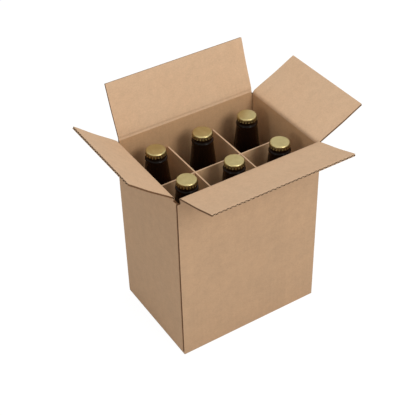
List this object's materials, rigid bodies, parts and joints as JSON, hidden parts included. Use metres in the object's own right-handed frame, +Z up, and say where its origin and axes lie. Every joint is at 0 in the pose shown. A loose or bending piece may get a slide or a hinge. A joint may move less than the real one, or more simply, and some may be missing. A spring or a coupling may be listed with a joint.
{
  "type": "bottle shipping box",
  "caption": "Open corrugated board carton with hinged top flaps, a slotted partition and crown-capped dark glass bottles standing in its cells.",
  "frame": {"origin": "middle of the box's underside, on the front one of the two long bottom flaps, 1.5 mm in front of their seam", "axes": "+Z up; X along the long walls, with the glue joint at the -X end of the front wall; -Y is the front long wall"},
  "size_m": [0.3489, 0.2559, 0.3464],
  "materials": {
    "kraft_board": "matt brown kraft liner with faint fibres, darker at raw edges",
    "divider_board": "matt brown kraft board, a little darker than the case",
    "dark_glass": "smooth, very dark amber, looks almost black when full",
    "cap_metal": "gold lacquered tinplate, glossy, with bright glints on the teeth",
    "seal": "soft pale sealing compound"
  },
  "bodies": {
    "case": {"case": "kraft_board", "long_divider": "divider_board", "cross_divider_left": "divider_board", "cross_divider_right": "divider_board", "bottle_front_left": "dark_glass", "bottle_front_middle": "dark_glass", "bottle_front_right": "dark_glass", "bottle_back_left": "dark_glass", "bottle_back_middle": "dark_glass", "bottle_back_right": "dark_glass", "cap_front_left": "cap_metal", "cap_front_middle": "cap_metal", "cap_front_right": "cap_metal", "cap_back_left": "cap_metal", "cap_back_middle": "cap_metal", "cap_back_right": "cap_metal", "liner_front_left": "seal", "liner_front_middle": "seal", "liner_front_right": "seal", "liner_back_left": "seal", "liner_back_middle": "seal", "liner_back_right": "seal"},
    "front_flap": {"front_flap": "kraft_board"},
    "back_flap": {"back_flap": "kraft_board"},
    "left_flap": {"left_flap": "kraft_board"},
    "right_flap": {"right_flap": "kraft_board"}
  },
  "joints": [
    {"name": "front_flap_hinge", "type": "hinge", "parent": "case", "child": "front_flap", "pos_m": [0, -0.0785, 0.2741], "axis": [1, 0, 0], "range_deg": [-162, 93]},
    {"name": "back_flap_hinge", "type": "hinge", "parent": "case", "child": "back_flap", "pos_m": [0, 0.0785, 0.2741], "axis": [-1, 0, 0], "range_deg": [-110, 145]},
    {"name": "left_flap_hinge", "type": "hinge", "parent": "case", "child": "left_flap", "pos_m": [-0.1104, 0, 0.2708], "axis": [0, -1, 0], "range_deg": [-142, 113]},
    {"name": "right_flap_hinge", "type": "hinge", "parent": "case", "child": "right_flap", "pos_m": [0.1104, 0, 0.2708], "axis": [0, 1, 0], "range_deg": [-153, 102]}
  ]
}
